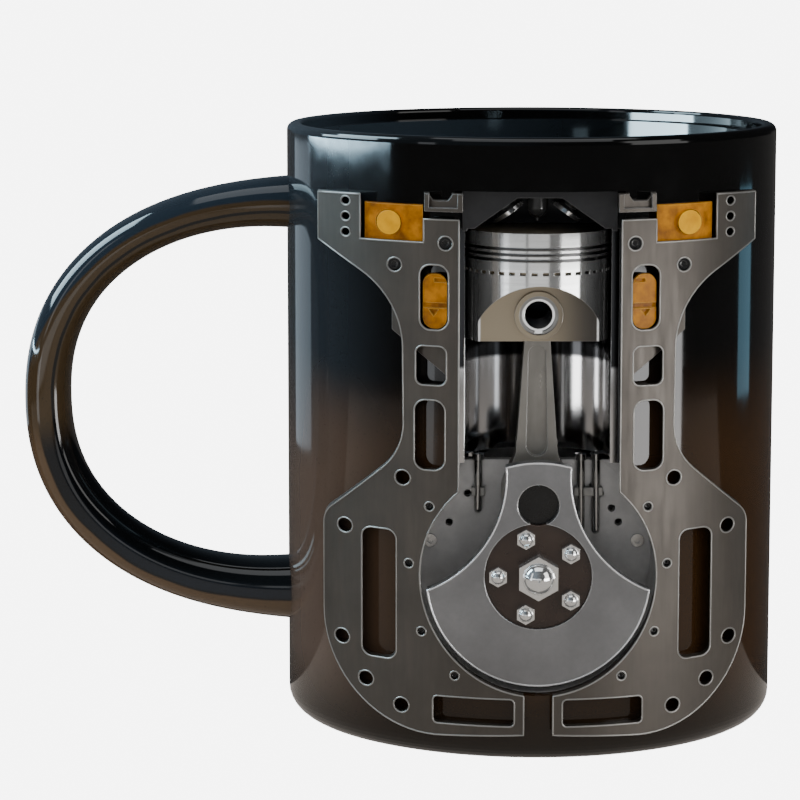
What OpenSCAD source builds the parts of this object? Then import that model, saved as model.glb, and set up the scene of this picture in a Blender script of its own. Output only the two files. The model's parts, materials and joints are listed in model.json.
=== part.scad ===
// Desk model of a single-cylinder piston engine, carried in the front of a mug-shaped housing.
// +Z is up, the engine faces -Y, the handle is on the -X side, and the origin is the centre of the base.

/* [Mug] */
// Outside radius of the mug body
mug_r = 41; // [41:0.5:43]
// Height of the mug body
mug_h = 100; // [100:1:106]
// Thickness of the outer wall
shell_t = 2.5; // [2:0.1:2.6]
// Thickness of the floor
floor_t = 4; // [3:0.5:4]
// Radius of the rounded bottom edge
foot_r = 4; // [3:0.5:4]
// Radius of the rounded lip
lip_r = 1.2; // [0.8:0.1:1.2]
// Thickness of the inner cup's wall
cup_t = 1.8; // [1.5:0.1:2]

/* [Handle] */
// How far the handle's middle line stands out from the wall
handle_reach = 40.7; // [38:0.1:44]
// Half the height of the handle's middle line
handle_rise = 33; // [30:0.5:34]
// Half the handle's width, front to back
handle_half_w = 6.2; // [5:0.1:7]
// Handle thickness at the upper root
handle_t_top = 6.8; // [6:0.1:8]
// Handle thickness at the lower root
handle_t_low = 8.6; // [7:0.1:9]

/* [Crank] */
// Height of the crank axis above the base
crank_z = 30.2; // [30:0.1:30.4]
// Crank throw, from the axis to the crankpin
throw = 11.5; // [11:0.1:11.6]
// Connecting rod length between its two bores
rod_len = 29.9; // [29.6:0.1:30]
// Radius of the crankpin
crankpin_r = 3.3; // [3.2:0.1:3.4]
// Radius of the front web's counterweight
web_r = 17.9; // [17.4:0.1:18]
// Radius of the dark hub disc in the front web
hub_r = 8.5; // [8.2:0.1:8.6]
// Radius of the main shaft
shaft_r = 3; // [3:0.1:3]

/* [Piston] */
// Radius of the piston
piston_r = 11.6; // [11.5:0.05:11.65]
// Radius of the cylinder bore
bore_r = 12.3; // [12.3:0.05:12.4]
// Height of the piston's crown above the wrist pin
crown_up = 13.4; // [13.2:0.1:13.4]
// Depth of the piston's skirt below the wrist pin
skirt_down = 4.2; // [4:0.1:4.3]
// Outside radius of the wrist pin
wrist_r = 3.1; // [3:0.1:3.1]

/* [Frame plates] */
// Thickness of the two frame plates
plate_t = 2.2; // [1.8:0.1:2.4]
// Height of the plates' upper edge
plate_top = 91; // [90.5:0.1:91]
// Half the width of the channel between the plates
channel_x = 12.8; // [12.6:0.1:13]
// Radius of the plates' round crank opening
opening_r = 18.9; // [18.8:0.1:19]

/* [Hidden] */
$fn = 64;

// Running clearance of a pin in its bush.
run_gap = 0.05;

shell_in = mug_r - shell_t;
cup_out = shell_in - 0.2;
cup_in = cup_out - cup_t;
cup_wall_y = -2.4;
tray_z = 92;
cup_top = mug_h - 2;

// The engine's middle plane, and the heights of its three main axes at the top of the stroke.
engine_y = -29;
pin_z = crank_z + throw;
wrist_z = pin_z + rod_len;
crown_z = wrist_z + crown_up;
skirt_z = wrist_z - skirt_down;

// Front-to-back places of the crank's pieces.
web_front = -40;
web_back = -37.2;
hub_face = -39.4;
pin_front = -38.4;
rod_half = 3;
arm_front = engine_y + rod_half + 0.3;
arm_back = arm_front + 2.5;
case_wall_front = -21;
case_wall_back = -18.6;
housing_back = -10;
flywheel_front = -9.4;
flywheel_back = -6;
back_plate_front = -5.2;
back_plate_back = -2.6;

barrel_r = 15.5;
liner_r = 13.5;
barrel_low = 47.4;
barrel_top = 85.2;
cut_y = engine_y - 4;
nut_x = 10.3;
nut_y = engine_y + 10.3;
head_top = 91.6;
case_r = 20.6;
case_in = 19.2;
case_top = 42.7;
wall_top = barrel_low - 1.4;

plate_r = mug_r + plate_t;
plate_low = 5.1;
wing_x = 35.2;
wing_z = 82.8;
step_z = 87.2;
waist_x = 21.5;
side_x = 34.4;
notch_x = 2.35;
window_low = 83.5;
window_in = 18.3;
window_out = 28.4;
lens_x = 23.8;
lens_z = 86.4;
lens_r = 1.9;

bearing_out = 5;
bearing_w = 3;
bearings_y = [case_wall_front + 0.2, housing_back - bearing_w - 0.2];

valve_x = 4.4;
valve_z = 87.3;
valve_tilt = 35;
valve_r = 2.8;
valve_t = 0.7;
stem_r = 0.9;
roof_up = 2;
pocket_up = 2.4;
retainer_up = 3.6;

web_neck_r = 18.4;
web_cut = [24.6, 16, 19.4];
hub_bolts = [for (i = [0:4]) 36 + 72 * i];
hub_pitch = 6.4;

// Plate holes as x, z: the larger plain ones, the wing's row of three, and those that take a screw.
big_hole_r = 1.25;
plate_holes = [[21.6, 45.8], [30.9, 36.8], [31.4, 18.4], [27.5, 12.2], [21.8, 8.7]];
wing_hole_r = 0.75;
wing_holes = [for (i = [0:2]) [30.7, 84.4 + 2.5 * i]];
upper_screws = [[14.9, 83.5], [22.9, 79.8]];
ring_screws = [for (a = [33, 5, -26, -50]) [20.7 * cos(a), crank_z + 20.7 * sin(a)]];
screws = concat(upper_screws, ring_screws);
screw_hole_r = [1.15, 1.15, 0.75, 0.75, 0.75, 0.75];

gunmetal = [0.30, 0.30, 0.29];
dark_glaze = [0.05, 0.06, 0.08];
steel = [0.62, 0.62, 0.60];
bright = [0.85, 0.85, 0.84];
amber = [0.90, 0.52, 0.08];

// Points along an arc in the plane of the front view.
function arc(cx, cz, r, from, to, n = 12) =
  [for (i = [0:n]) let (a = from + (to - from) * i / n) [cx + r * cos(a), cz + r * sin(a)]];

// A front-view outline as a solid from y_front to y_back.
module along_y(y_front, y_back)
  translate([0, y_back, 0]) rotate([90, 0, 0]) linear_extrude(y_back - y_front) children();

// A front-view outline laid round the mug's front, between two radii.
module wrapped(r_in, r_out)
  intersection() {
    along_y(-60, -8) children();
    difference() {
      cylinder(r = r_out, h = mug_h, $fn = 128);
      translate([0, 0, -1]) cylinder(r = r_in, h = mug_h + 2, $fn = 128);
    }
  }

// A round bar along Y.
module rod_y(x, z, r, y_front, y_back)
  translate([x, y_back, z]) rotate([90, 0, 0]) cylinder(r = r, h = y_back - y_front);

// A rounded rectangle given by its corners.
module window_2d(x0, z0, x1, z1, r) {
  translate([x0 + r, z0]) square([x1 - x0 - 2 * r, z1 - z0]);
  translate([x0, z0 + r]) square([x1 - x0, z1 - z0 - 2 * r]);
  for (x = [x0 + r, x1 - r], z = [z0 + r, z1 - r]) translate([x, z]) circle(r = r, $fn = 32);
}

// A dome nut: a hexagon with a ball top, facing -Y.
module dome_nut(x, z, flats, y_face) {
  across = flats / cos(30);
  height = 0.42 * flats;
  translate([x, y_face, z]) rotate([90, 0, 0]) {
    difference() {
      union() {
        rotate(30) cylinder(d = across, h = height, $fn = 6);
        translate([0, 0, height - 0.12 * flats]) sphere(r = 0.43 * flats, $fn = 48);
      }
      translate([0, 0, -flats]) cube(2 * flats, center = true);
      translate([0, 0, -0.01]) cylinder(r = 0.25 * flats, h = height);
    }
  }
}

module mirrored(side) mirror([side < 0 ? 1 : 0, 0, 0]) children();

// ---- Mug ----

module mug_profile()
  polygon(concat(
    [[0, 0], [mug_r - foot_r, 0]],
    arc(mug_r - foot_r, foot_r, foot_r, -90, 0, 8),
    arc(mug_r - lip_r, mug_h - lip_r, lip_r, 0, 90, 6),
    arc(shell_in + 0.6, mug_h - 0.6, 0.6, 90, 180, 4),
    [[shell_in, floor_t], [0, floor_t]]));

module window_outline() {
  translate([-channel_x - 0.6, crank_z]) square([2 * channel_x + 1.2, plate_top + 0.6 - crank_z]);
  translate([0, crank_z]) circle(r = opening_r + 0.3, $fn = 96);
}

module mug_shell() color(dark_glaze)
  difference() {
    rotate_extrude($fn = 160) mug_profile();
    along_y(-60, -20) window_outline();
    for (side = [-1, 1], s = screws) rod_y(side * s[0], s[1], 0.5, -60, -20);
  }

// One closed ring of the handle's section, at angle u along its squarish half ellipse.
function handle_ring(u, sides) =
  let (
    a = handle_reach + 1.5,
    cu = pow(abs(cos(u)), 0.89),
    su = sign(u) * pow(abs(sin(u)), 0.89),
    px = -(mug_r - 1.5 + a * cu),
    pz = handle_mid + handle_rise * su,
    nx = -pow(cu, 1.25) / a,
    nz = sign(u) * pow(abs(su), 1.25) / handle_rise,
    nl = norm([nx, nz]),
    root = pow(abs(u) / 90, 6),
    t = (handle_t_low + (handle_t_top - handle_t_low) * (u + 90) / 180) / 2 + 0.9 * root,
    w = handle_half_w + 0.9 * root
  )
  [for (i = [0:sides - 1])
    let (
      q = 360 * i / sides,
      s = sign(cos(q)) * pow(abs(cos(q)), 0.8) * t,
      y = sign(sin(q)) * pow(abs(sin(q)), 0.8) * w
    )
    [px + s * nx / nl, y, pz + s * nz / nl]];

handle_mid = 53.6;

module swept(rings) {
  n = len(rings);
  m = len(rings[0]);
  points = [for (r = rings) each r];
  sides = [for (i = [0:n - 2], j = [0:m - 1])
    [i * m + j, i * m + (j + 1) % m, (i + 1) * m + (j + 1) % m, (i + 1) * m + j]];
  caps = [[for (j = [m - 1:-1:0]) j], [for (j = [0:m - 1]) (n - 1) * m + j]];
  polyhedron(points, concat(sides, caps), convexity = 6);
}

module handle() color(dark_glaze)
  difference() {
    swept([for (k = [0:36]) handle_ring(-90 + 5 * k, 20)]);
    translate([0, 0, -1]) cylinder(r = mug_r, h = mug_h + 2, $fn = 128);
  }

module cup_d(r, wall_y, z0, z1)
  intersection() {
    translate([0, 0, z0]) cylinder(r = r, h = z1 - z0, $fn = 128);
    translate([-mug_r, wall_y, z0]) cube([2 * mug_r, 2 * mug_r, z1 - z0]);
  }

module inner_cup() color(dark_glaze)
  difference() {
    union() {
      cup_d(cup_out, cup_wall_y, floor_t, tray_z + 1);
      translate([0, 0, tray_z]) cylinder(r = cup_out, h = cup_top - tray_z, $fn = 128);
    }
    cup_d(cup_in, cup_wall_y + cup_t, floor_t + cup_t, mug_h + 1);
    translate([0, 0, tray_z + cup_t]) cylinder(r = cup_in, h = mug_h, $fn = 128);
  }

// ---- Frame plates and what they carry ----

module plate_outline()
  difference() {
    polygon(concat(
      [[channel_x, plate_top], [wing_x, plate_top - 0.6], [wing_x, wing_z]],
      arc(35.6, 66.6, 14, 122, 180, 14),
      arc(31.5, 54.5, 10, 180, 228, 10),
      arc(side_x - 4, 36.6, 4, 48, 0, 8),
      arc(side_x - 18, 22.5, 18, 0, -90, 18),
      [[notch_x, plate_low], [notch_x, crank_z], [channel_x, crank_z]]));
    translate([0, crank_z]) circle(r = opening_r, $fn = 96);
    translate([window_in, window_low]) square([window_out - window_in, 10]);
    translate([channel_x - 1, step_z]) square([window_in - channel_x + 1.1, 10]);
    window_2d(14.4, 69.7, 19, 80.1, 1.8);
    window_2d(14.7, 60.9, 19.6, 67.2, 1.2);
    window_2d(14.9, 47.3, 19.8, 58.6, 1.8);
    window_2d(22.6, 16, 28.2, 37.2, 1.6);
    window_2d(3.8, 6.4, 16.8, 10.9, 0.8);
    for (h = plate_holes) translate(h) circle(r = big_hole_r, $fn = 32);
    for (h = wing_holes) translate(h) circle(r = wing_hole_r, $fn = 32);
    for (i = [0:len(screws) - 1]) translate(screws[i]) circle(r = screw_hole_r[i], $fn = 32);
  }

module gusset_outline()
  polygon([
    [waist_x - 0.5, 74.4], [23.3, 74.4], [23.3, 69.3], [14, 61.9],
    [13.3, 61.9], [13.3, 69.2], [waist_x - 0.5, 69.2]]);

module frame_plate(side) color(gunmetal)
  mirrored(side) difference() {
    wrapped(mug_r, plate_r) plate_outline();
    wrapped(mug_r - 0.1, mug_r + 0.95) gusset_outline();
  }

module gusset(side) color(gunmetal)
  mirrored(side) wrapped(mug_r, mug_r + 0.9) gusset_outline();

module head_bracket(side) color(gunmetal)
  mirrored(side) difference() {
    wrapped(mug_r, plate_r + 0.6)
      difference() {
        translate([channel_x - 0.6, 88.5]) square([window_in - channel_x + 0.5, plate_top + 0.3 - 88.5]);
        polygon([[13.9, 92], [13.9, 91], [14.5, 90.2], [16.8, 90.2], [17.4, 91], [17.4, 92]]);
      }
    wrapped(plate_r - 0.1, plate_r + 2)
      polygon([[13, 92], [13, 89.1], [17.5, 89.1], [17.5, 92]]);
  }

module amber_panel(side) color(amber)
  mirrored(side) difference() {
    wrapped(mug_r, mug_r + 1.3)
      translate([window_in + 0.1, window_low + 0.1]) square([window_out - window_in - 0.9, 5.7]);
    rod_y(lens_x, lens_z, lens_r + 0.1, -60, -8);
  }

module amber_lens(side) color([1, 0.62, 0.1])
  mirrored(side) wrapped(mug_r, mug_r + 1.9) translate([lens_x, lens_z]) circle(r = lens_r, $fn = 48);

module amber_gauge(side) color(amber)
  mirrored(side) difference() {
    wrapped(mug_r, mug_r + 1.5) window_2d(14.6, 69.9, 18.4, 78.6, 1.7);
    wrapped(mug_r + 1, mug_r + 3) translate([14, 73.2]) square([6, 0.8]);
    wrapped(mug_r + 1, mug_r + 3) translate([14.4, 77.3]) square([2.2, 0.6]);
    wrapped(mug_r + 1, mug_r + 3) polygon([[15.9, 73], [17.5, 73], [16.7, 71.9]]);
  }

// Small screws sunk in the plates' holes, with their shanks in the mug's wall.
module plate_screws() color(bright)
  for (side = [-1, 1], i = [0:len(screws) - 1]) {
    x = side * screws[i][0];
    z = screws[i][1];
    seat = -sqrt(pow(mug_r, 2) - pow(screws[i][0], 2));
    difference() {
      union() {
        rod_y(x, z, screw_hole_r[i] - 0.1, seat - 1.5, seat - 0.8);
        rod_y(x, z, 0.45, seat - 0.9, seat + 1.9);
      }
      rod_y(x, z, 0.4 * screw_hole_r[i], seat - 2, seat - 1.2);
    }
  }

// ---- Crankcase ----

case_screw_at = [for (a = [-158, -112, -68, -22, 8, 172]) [17.2 * cos(a), crank_z + 17.2 * sin(a)]];
case_hole_at = [for (a = [21, 31, 43, 50, 137, 159, 200, 230, 270, 310, 340])
  [14.9 * cos(a), crank_z + 14.9 * sin(a)]];

module crankcase() color(steel)
  difference() {
    union() {
      intersection() {
        difference() {
          rod_y(0, crank_z, case_r, -38, back_plate_front);
          rod_y(0, crank_z, case_in, -39, 0);
        }
        cylinder(r = shell_in - 0.2, h = mug_h, $fn = 128);
      }
      rod_y(0, crank_z, case_in + 0.3, case_wall_front, case_wall_back);
      rod_y(0, crank_z, 8, case_wall_back - 0.5, housing_back);
    }
    translate([-25, -60, case_top]) cube([50, 60 + case_wall_front - 0.1, 20]);
    translate([-25, -60, wall_top]) cube([50, 60, 20]);
    translate([-25, case_wall_back, case_top]) cube([50, 20, 20]);
    rod_y(0, crank_z, bearing_out, -30, 0);
    for (p = case_hole_at) rod_y(p[0], p[1], 0.6, -30, -12);
    for (p = case_screw_at) rod_y(p[0], p[1], 0.6, -30, -12);
  }

module crankcase_screws() color(bright)
  for (p = case_screw_at)
    difference() {
      union() {
        rod_y(p[0], p[1], 1.1, case_wall_front - 0.8, case_wall_front);
        rod_y(p[0], p[1], 0.55, case_wall_front - 0.1, case_wall_back);
      }
      translate([p[0], case_wall_front - 0.4, p[1]]) rotate([90, 0, 0]) cylinder(r = 0.5, h = 2, $fn = 6);
    }

// Thin oil pipes that run down the crankcase wall, and the clips that hold them.
pipe_y = case_wall_front - 1.1;
pipe_r = 0.7;
pipes = [[7.6, 33], [10.1, 34.5], [-9.2, 38]];
module oil_pipes() color(bright)
  for (p = pipes) {
    translate([p[0], pipe_y, p[1]]) cylinder(r = pipe_r, h = 47.2 - p[1], $fn = 32);
    translate([p[0], pipe_y, p[1]]) sphere(r = pipe_r, $fn = 32);
    translate([p[0], pipe_y, 46.2]) cylinder(r = 1, h = 1, $fn = 32);
  }

module oil_pipe_clips() color(steel)
  for (c = [[6.5, 4.7], [-10.3, 2.2]])
    difference() {
      translate([c[0], case_wall_front - 1.8, 40.2]) cube([c[1], 1.8, 1.4]);
      for (p = pipes) translate([p[0], pipe_y, 30]) cylinder(r = pipe_r + 0.05, h = 20, $fn = 32);
    }

module back_plate() color(gunmetal)
  difference() {
    translate([-24, back_plate_front, floor_t])
      cube([48, back_plate_back - back_plate_front, tray_z - floor_t - 0.2]);
    rod_y(0, crank_z, 4, -10, 0);
  }

module bearing_outer_rings() color(bright)
  for (y = bearings_y)
    difference() {
      rod_y(0, crank_z, bearing_out, y, y + bearing_w);
      rod_y(0, crank_z, bearing_out - 0.5, y - 1, y + bearing_w + 1);
    }

// ---- Cylinder and head ----

// A tube round the cylinder's axis with its front cut away.
module cut_tube(r_out, r_in, z0, z1)
  difference() {
    translate([0, engine_y, z0]) cylinder(r = r_out, h = z1 - z0, $fn = 96);
    translate([0, engine_y, z0 - 1]) cylinder(r = r_in, h = z1 - z0 + 2, $fn = 96);
    translate([-30, -60, z0 - 1]) cube([60, 60 + cut_y, z1 - z0 + 2]);
  }

module barrel() color([0.12, 0.12, 0.13])
  difference() {
    union() {
      cut_tube(barrel_r, liner_r, barrel_low, barrel_top);
      translate([-9, -17, barrel_low + 4]) cube([18, back_plate_front + 17, barrel_top - barrel_low - 4]);
    }
    translate([0, engine_y, 0]) cylinder(r = liner_r, h = mug_h, $fn = 96);
    for (x = [-nut_x, nut_x]) translate([x, nut_y, barrel_low - 1]) cylinder(r = 0.5, h = 4, $fn = 24);
  }

module cylinder_liner() color(bright) cut_tube(liner_r, bore_r, barrel_low, barrel_top);

// Studs and dome nuts under the barrel's foot.
module barrel_base_nuts() color(bright)
  for (x = [-nut_x, nut_x])
    translate([x, nut_y, barrel_low - 1.2]) {
      cylinder(r = 0.9, h = 1.2, $fn = 6);
      translate([0, 0, 1]) cylinder(r = 0.45, h = 2.8, $fn = 24);
    }

// The valve's own frame: its head's face at the origin and its stem up along Z.
module at_valve(side)
  translate([side * valve_x, engine_y, valve_z]) rotate([0, side * valve_tilt, 0]) children();

module cylinder_head() color([0.10, 0.10, 0.11])
  difference() {
    union() {
      translate([-14, -34, barrel_top]) cube([28, 34 + back_plate_front, head_top - barrel_top]);
      translate([-12.2, -38, barrel_top]) cube([24.4, 5, head_top - barrel_top]);
    }
    along_y(-60, engine_y + 5) polygon([
      [-11.4, 80], [11.4, 80], [11.4, 85.6], [10.3, 85.6], [3.5, 90.4],
      [-3.5, 90.4], [-10.3, 85.6], [-11.4, 85.6]]);
    for (side = [-1, 1]) at_valve(side) {
      translate([0, 0, pocket_up]) cylinder(r = 2, h = 12, $fn = 40);
      cylinder(r = 1.3, h = 4, $fn = 40);
    }
    translate([0, engine_y, 84]) cylinder(r = 1.7, h = 10, $fn = 40);
    for (x = [-12.4, 12.4], y = [-31.5, -9]) translate([x, y, 80]) cylinder(r = 0.75, h = 20, $fn = 32);
  }

module head_bolts() color(bright)
  for (x = [-12.4, 12.4], y = [-31.5, -9])
    translate([x, y, barrel_top + 0.2]) cylinder(r = 0.7, h = head_top - barrel_top - 0.3, $fn = 32);

module spark_plug() color([0.12, 0.12, 0.12])
  translate([0, engine_y, 0]) {
    translate([0, 0, 88.2]) cylinder(r = 1.7, h = head_top - 88.2, $fn = 48);
    translate([0, 0, 88.2]) sphere(r = 1.7, $fn = 48);
    translate([0, 0, 86.1]) cylinder(r = 0.35, h = 1.2, $fn = 24);
  }

// The valve's head is a disc under a flared neck, like a tulip.
module valve(side) color(bright)
  at_valve(side) {
    cylinder(r = valve_r, h = valve_t, $fn = 48);
    translate([0, 0, valve_t]) cylinder(r1 = valve_r - 0.4, r2 = stem_r, h = 0.95, $fn = 48);
    cylinder(r = stem_r, h = 4.2, $fn = 32);
  }

// A bush round each stem, through the chamber's roof.
module valve_guides() color(bright)
  for (side = [-1, 1]) at_valve(side) difference() {
    translate([0, 0, roof_up - 0.3]) cylinder(r = 1.3, h = pocket_up + 0.6 - roof_up, $fn = 40);
    cylinder(r = stem_r + run_gap, h = 6, $fn = 40);
  }

module valve_retainer(side) color(steel)
  at_valve(side) difference() {
    translate([0, 0, retainer_up]) cylinder(r = 1.7, h = 0.4, $fn = 40);
    cylinder(r = stem_r, h = 6, $fn = 32);
  }

module valve_spring(side) color([0.4, 0.4, 0.42])
  at_valve(side) for (up = [2.56, 3.42])
    translate([0, 0, up]) rotate_extrude($fn = 40) translate([1.55, 0]) circle(r = 0.13, $fn = 16);

// ---- Crank ----

module web_outline()
  translate([0, crank_z]) difference() {
    union() {
      circle(r = web_r, $fn = 128);
      intersection() {
        circle(r = web_neck_r, $fn = 128);
        translate([-8, 0]) square([16, 20]);
      }
    }
    for (side = [-1, 1]) translate([side * web_cut[0], web_cut[1]]) circle(r = web_cut[2], $fn = 128);
  }

module crank_web_front() color(steel)
  difference() {
    along_y(web_front, web_back) web_outline();
    rod_y(0, crank_z, hub_r + 0.05, web_front - 1, hub_face + 1.2);
    rod_y(0, pin_z, crankpin_r, web_front - 1, web_back + 1);
    for (a = hub_bolts)
      rod_y(hub_pitch * cos(a), crank_z + hub_pitch * sin(a), 0.65, web_front, web_back + 1);
    rod_y(0, crank_z, 1.5, web_front, web_back + 1);
  }

module hub_disc() color([0.16, 0.10, 0.08])
  difference() {
    rod_y(0, crank_z, hub_r, hub_face, hub_face + 1.2);
    rod_y(0, pin_z, crankpin_r + 0.05, web_front - 1, web_back + 1);
    for (a = hub_bolts) rod_y(hub_pitch * cos(a), crank_z + hub_pitch * sin(a), 0.65, -50, -30);
    rod_y(0, crank_z, 1.5, -50, -30);
  }

module hub_studs() color(steel)
  for (a = hub_bolts) rod_y(hub_pitch * cos(a), crank_z + hub_pitch * sin(a), 0.65, hub_face - 1, web_back);

module hub_dome_nuts() color(bright)
  for (a = hub_bolts) dome_nut(hub_pitch * cos(a), crank_z + hub_pitch * sin(a), 2.8, hub_face);

module centre_stud() color(steel) rod_y(0, crank_z, 1.5, hub_face - 2, web_back);

module centre_dome_nut() color(bright) dome_nut(0, crank_z, 6.2, hub_face);

module crankpin() color([0.2, 0.2, 0.2]) {
  rod_y(0, pin_z, crankpin_r, pin_front, arm_back);
  rod_y(0, pin_z, crankpin_r + 1.3, web_back + 0.05, engine_y - rod_half - 0.3);
}

module crank_arm_rear() color(steel)
  difference() {
    along_y(arm_front, arm_back) {
      translate([0, crank_z]) circle(r = 6.4);
      translate([0, pin_z]) circle(r = 5.5);
      translate([-5.4, crank_z]) square([10.8, throw]);
    }
    rod_y(0, pin_z, crankpin_r, -40, 0);
    rod_y(0, crank_z, shaft_r, -40, 0);
  }

module main_shaft() color(bright) {
  rod_y(0, crank_z, shaft_r, arm_front, flywheel_back - 1.2);
  rod_y(0, crank_z, 1.6, flywheel_back - 1.3, flywheel_back + 0.6);
}

module bearing_inner_rings() color(bright)
  for (y = bearings_y)
    difference() {
      rod_y(0, crank_z, shaft_r + 0.45, y, y + bearing_w);
      rod_y(0, crank_z, shaft_r, y - 1, y + bearing_w + 1);
    }

module bearing_balls() color(bright)
  for (y = bearings_y, a = [0:45:315])
    translate([3.975 * cos(a), y + bearing_w / 2, crank_z + 3.975 * sin(a)]) sphere(r = 0.5, $fn = 24);

module flywheel() color(steel)
  difference() {
    rod_y(0, crank_z, 17, flywheel_front, flywheel_back);
    rod_y(0, crank_z, 12.5, flywheel_front - 1, flywheel_front + 1);
    rod_y(0, crank_z, shaft_r, flywheel_front - 1, flywheel_back - 1.2);
    rod_y(0, crank_z, 1.6, flywheel_front - 1, flywheel_back + 1);
  }

module flywheel_nut() color(bright)
  difference() {
    translate([0, flywheel_back + 0.6, crank_z]) rotate([90, 0, 0]) cylinder(r = 3, h = 0.6, $fn = 6);
    rod_y(0, crank_z, 1.6, -20, 0);
  }

// ---- Connecting rod ----

small_end_r = 4.9;
big_end_r = 5.6;
bush_t = 0.5;

module shank_outline(w_low, w_top, z0, z1)
  polygon([[-w_low, z0], [w_low, z0], [w_top, z1], [-w_top, z1]]);

module connecting_rod() color(steel)
  difference() {
    union() {
      rod_y(0, pin_z, big_end_r, engine_y - rod_half, engine_y + rod_half);
      rod_y(0, wrist_z, small_end_r, engine_y - rod_half, engine_y + rod_half);
      along_y(engine_y - 2.3, engine_y + 2.3) {
        shank_outline(3.5, 2, pin_z + 5, wrist_z - 3.5);
        for (side = [-1, 1]) mirrored(side) polygon(concat(
          [[0, pin_z + 3], [4.7, pin_z + 2.4]], arc(9.2, pin_z + 8.2, 5.9, 215, 172, 6), [[0, pin_z + 9]]));
      }
    }
    for (y = [engine_y - 4, engine_y + 0.8]) along_y(y, y + 3.2) {
      shank_outline(1.7, 1.4, pin_z + 8.2, wrist_z - 6.8);
      translate([0, pin_z + 8.2]) circle(r = 1.7, $fn = 40);
      translate([0, wrist_z - 6.8]) circle(r = 1.4, $fn = 40);
    }
    rod_y(0, pin_z, crankpin_r + bush_t + run_gap, -40, 0);
    rod_y(0, wrist_z, wrist_r + bush_t + run_gap, -40, 0);
  }

module bush(z, r)
  difference() {
    rod_y(0, z, r + bush_t + run_gap, engine_y - rod_half, engine_y + rod_half);
    rod_y(0, z, r + run_gap, -40, 0);
  }

module big_end_bush() color("peru") bush(pin_z, crankpin_r);

module small_end_bush() color("peru") bush(wrist_z, wrist_r);

// ---- Piston ----

ring_z = [for (i = [0:2]) wrist_z + 10.7 - 0.9 * i];
ring_h = 0.45;
oil_hole_z = wrist_z + 7;
arch_r = 10.6;
arch_z = skirt_z - 1.3;
boss_face = 6.5;

module piston() color([0.75, 0.75, 0.74])
  difference() {
    translate([0, engine_y, skirt_z]) cylinder(r = piston_r, h = crown_z - skirt_z, $fn = 128);
    for (z = ring_z) translate([0, engine_y, z]) difference() {
      cylinder(r = piston_r + 1, h = ring_h, $fn = 96);
      translate([0, 0, -1]) cylinder(r = piston_r - 1, h = 3, $fn = 96);
    }
    for (a = [0:9:351]) translate([0, engine_y, oil_hole_z]) rotate(a + 4.5)
      translate([piston_r - 0.9, -0.5, -0.24]) cube([2, 1, 0.48]);
    for (side = [-1, 1]) difference() {
      rod_y(0, arch_z, arch_r, engine_y - 20, engine_y + 20);
      translate([-20, engine_y - boss_face, skirt_z - 20]) cube([40, 2 * boss_face, 40]);
      rod_y(0, wrist_z, wrist_r + 0.75, engine_y - boss_face - 0.9, engine_y + boss_face + 0.9);
    }
    intersection() {
      translate([0, engine_y, skirt_z - 1]) cylinder(r = piston_r - 1.9, h = 13, $fn = 96);
      translate([-20, engine_y - rod_half - 0.6, 0]) cube([40, 2 * rod_half + 1.2, 200]);
    }
    rod_y(0, wrist_z, wrist_r, engine_y - 20, engine_y + 20);
    for (y = [engine_y - boss_face - 0.5, engine_y + boss_face - 0.1])
      rod_y(0, wrist_z, wrist_r + 0.4, y, y + 0.6);
  }

module piston_ring(i) color([0.35, 0.35, 0.36])
  translate([0, engine_y, ring_z[i] + 0.03]) difference() {
    cylinder(r = piston_r + 0.08, h = ring_h - 0.06, $fn = 96);
    translate([0, 0, -1]) cylinder(r = piston_r - 0.95, h = 3, $fn = 96);
    rotate(40 + 140 * i) translate([piston_r - 2, -0.2, -1]) cube([4, 0.4, 4]);
  }

module wrist_pin() color(bright)
  difference() {
    rod_y(0, wrist_z, wrist_r, engine_y - boss_face + 0.12, engine_y + boss_face - 0.12);
    rod_y(0, wrist_z, wrist_r - 0.9, -50, 0);
  }

module circlips() color(steel)
  for (y = [engine_y - boss_face - 0.45, engine_y + boss_face - 0.05])
    difference() {
      rod_y(0, wrist_z, wrist_r + 0.35, y, y + 0.5);
      rod_y(0, wrist_z, wrist_r - 0.5, -50, 0);
      translate([-0.6, y - 1, wrist_z - 5]) cube([1.2, 3, 5]);
    }

mug_shell();
handle();
inner_cup();
frame_plate(-1);  // frame_plate_left
frame_plate(1);  // frame_plate_right
gusset(-1);  // gusset_left
gusset(1);  // gusset_right
head_bracket(-1);  // head_bracket_left
head_bracket(1);  // head_bracket_right
amber_panel(-1);  // amber_panel_left
amber_panel(1);  // amber_panel_right
amber_lens(-1);  // amber_lens_left
amber_lens(1);  // amber_lens_right
amber_gauge(-1);  // amber_gauge_left
amber_gauge(1);  // amber_gauge_right
plate_screws();
crankcase();
crankcase_screws();
oil_pipes();
oil_pipe_clips();
back_plate();
barrel();
cylinder_liner();
barrel_base_nuts();
cylinder_head();
head_bolts();
valve_guides();
spark_plug();
bearing_outer_rings();
crank_web_front();
hub_disc();
hub_studs();
hub_dome_nuts();
centre_stud();
centre_dome_nut();
crankpin();
crank_arm_rear();
main_shaft();
bearing_inner_rings();
bearing_balls();
flywheel();
flywheel_nut();
connecting_rod();
big_end_bush();
small_end_bush();
piston();
piston_ring(0);  // compression_ring_top
piston_ring(1);  // compression_ring_second
piston_ring(2);  // oil_ring
wrist_pin();
circlips();
valve(-1);  // intake_valve
valve_retainer(-1);  // intake_retainer
valve_spring(-1);  // intake_spring
valve(1);  // exhaust_valve
valve_retainer(1);  // exhaust_retainer
valve_spring(1);  // exhaust_spring
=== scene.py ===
import json
import math

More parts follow.
